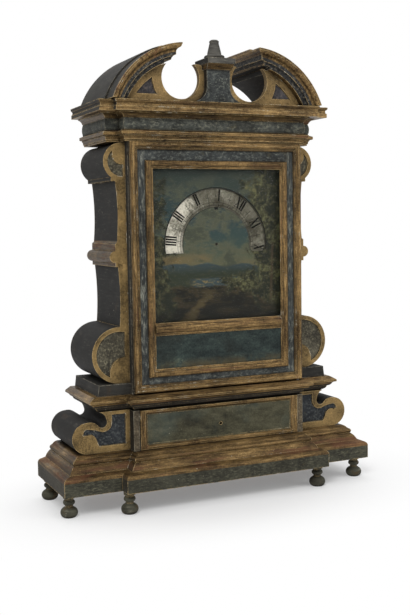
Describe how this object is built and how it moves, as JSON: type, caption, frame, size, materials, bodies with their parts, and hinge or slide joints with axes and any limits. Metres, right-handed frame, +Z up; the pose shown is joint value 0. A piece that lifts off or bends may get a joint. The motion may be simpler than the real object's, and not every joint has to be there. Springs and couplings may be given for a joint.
{
  "type": "altar-shaped clock with a turning hour ring",
  "caption": "Gilded and painted architectural clock case with a broken arched pediment, glazed door, drawer and side scrolls, a turning hour ring behind a painted plate, and a verge movement",
  "frame": {"origin": "centre of the bounding box's underside, on the floor", "axes": "+X to the viewer's right, +Y to the back of the clock, +Z up; the dial faces -Y"},
  "size_m": [0.704, 0.229, 0.95],
  "materials": {
    "plinth_paint": "worn paint and gilding on carved wood",
    "foot_paint": "worn dark paint on turned wood",
    "drawer_paint": "painted panel in a worn gilt frame",
    "marbled_paint": "marbled paint on wood",
    "scroll_paint": "gilt edges round sunk dark fields",
    "dark_paint": "worn dark paint on wood",
    "waist_paint": "worn brown gilding",
    "gilding": "worn gilding on wood",
    "entablature_paint": "worn gilding with dark painted members",
    "frieze_paint": "marbled paint on wood",
    "tympanum_paint": "gilding round sunk dark panels",
    "arch_paint": "gilding with a dark painted band",
    "panel_paint": "blue-green painted wood",
    "inner_wood": "bare aged wood",
    "painted_plate": "oil paint on a thin metal sheet",
    "silvered_ring": "silvered brass with black numerals",
    "movement_brass": "satin",
    "movement_steel": "polished arbors",
    "door_glass": "old clear glass"
  },
  "bodies": {
    "case": {"base_moulding": "plinth_paint", "foot_front_left": "foot_paint", "foot_front_right": "foot_paint", "foot_middle_left": "foot_paint", "foot_middle_right": "foot_paint", "foot_rear_left": "foot_paint", "foot_rear_right": "foot_paint", "podium_side_left": "marbled_paint", "podium_side_right": "marbled_paint", "pedestal": "marbled_paint", "bracket_left": "scroll_paint", "bracket_right": "scroll_paint", "side_scroll_left": "scroll_paint", "side_scroll_right": "scroll_paint", "scroll_plinth_left": "dark_paint", "scroll_plinth_right": "dark_paint", "case_side_left": "dark_paint", "case_side_right": "dark_paint", "roof_left": "dark_paint", "roof_right": "dark_paint", "finial": "dark_paint", "pedestal_cap": "dark_paint", "waist_cornice": "waist_paint", "architrave": "entablature_paint", "cornice": "entablature_paint", "frieze": "frieze_paint", "tympanum": "tympanum_paint", "arch_moulding_left": "arch_paint", "arch_moulding_right": "arch_paint", "base_board": "inner_wood", "base_deck": "inner_wood", "case_floor": "inner_wood", "case_back": "inner_wood", "pediment_deck": "inner_wood", "seat_board": "inner_wood", "dial_frame": "inner_wood", "dial_plate": "painted_plate", "movement_front_plate": "movement_brass", "movement_back_plate": "movement_brass", "movement_pillars": "movement_brass", "crown_wheel_potence": "movement_brass"},
    "front_door": {"door_frame": "marbled_paint", "door_outer_moulding": "gilding", "door_inner_moulding": "gilding", "door_glass": "door_glass", "door_panel": "panel_paint", "door_pivots": "movement_steel"},
    "back_door": {"back_door": "inner_wood"},
    "drawer": {"drawer_front": "drawer_paint", "drawer_box": "inner_wood"},
    "hour_ring": {"hour_ring": "silvered_ring", "hour_wheel": "movement_brass"},
    "report_pinion": {"report_pinion": "movement_steel"},
    "barrel": {"barrel": "movement_brass"},
    "barrel_arbor": {"barrel_arbor": "movement_steel"},
    "second_wheel": {"second_wheel": "movement_brass"},
    "contrate_wheel": {"contrate_wheel": "movement_brass"},
    "crown_wheel": {"crown_wheel": "movement_brass"},
    "pendulum": {"verge": "movement_steel", "pendulum": "movement_steel"}
  },
  "joints": [
    {"name": "front_door_swing", "type": "hinge", "parent": "case", "child": "front_door", "pos_m": [0.1875, -0.0575, 0.237], "axis": [0, 0, 1], "range_deg": [0, 110]},
    {"name": "back_door_swing", "type": "hinge", "parent": "case", "child": "back_door", "pos_m": [-0.1585, 0.1085, 0.4875], "axis": [0, 0, 1], "range_deg": [0, 100]},
    {"name": "drawer_slide", "type": "slide", "parent": "case", "child": "drawer", "axis": [0, -1, 0], "range_m": [0, 0.11]},
    {"name": "ring_turn", "type": "hinge", "parent": "case", "child": "hour_ring", "pos_m": [0, -0.0155, 0.5335], "axis": [0, -1, 0], "continuous": true},
    {"name": "report_pinion_turn", "type": "hinge", "parent": "case", "child": "report_pinion", "pos_m": [0.028, -0.0135, 0.5125], "axis": [0, -1, 0], "continuous": true},
    {"name": "contrate_turn", "type": "hinge", "parent": "case", "child": "contrate_wheel", "pos_m": [0, 0.0175, 0.56955], "axis": [0, -1, 0], "continuous": true},
    {"name": "second_turn", "type": "hinge", "parent": "case", "child": "second_wheel", "pos_m": [-0.008, 0.0055, 0.53583], "axis": [0, -1, 0], "continuous": true},
    {"name": "barrel_turn", "type": "hinge", "parent": "case", "child": "barrel", "pos_m": [0.028, 0.0265, 0.5125], "axis": [0, -1, 0], "continuous": true},
    {"name": "crown_turn", "type": "hinge", "parent": "case", "child": "crown_wheel", "pos_m": [0, 0.0265, 0.61155], "axis": [0, 0, 1], "continuous": true},
    {"name": "winding_turn", "type": "hinge", "parent": "case", "child": "barrel_arbor", "pos_m": [0.028, 0.0265, 0.5125], "axis": [0, -1, 0], "continuous": true},
    {"name": "pendulum_swing", "type": "hinge", "parent": "case", "child": "pendulum", "pos_m": [0, 0.0645, 0.63455], "axis": [0, -1, 0], "range_deg": [-10, 10]}
  ],
  "couplings": [
    {"joint": "report_pinion_turn", "follows": "ring_turn", "ratio": -3},
    {"joint": "second_turn", "follows": "contrate_turn", "ratio": -0.10526},
    {"joint": "barrel_turn", "follows": "contrate_turn", "ratio": 0.010526},
    {"joint": "crown_turn", "follows": "contrate_turn", "ratio": -10}
  ]
}
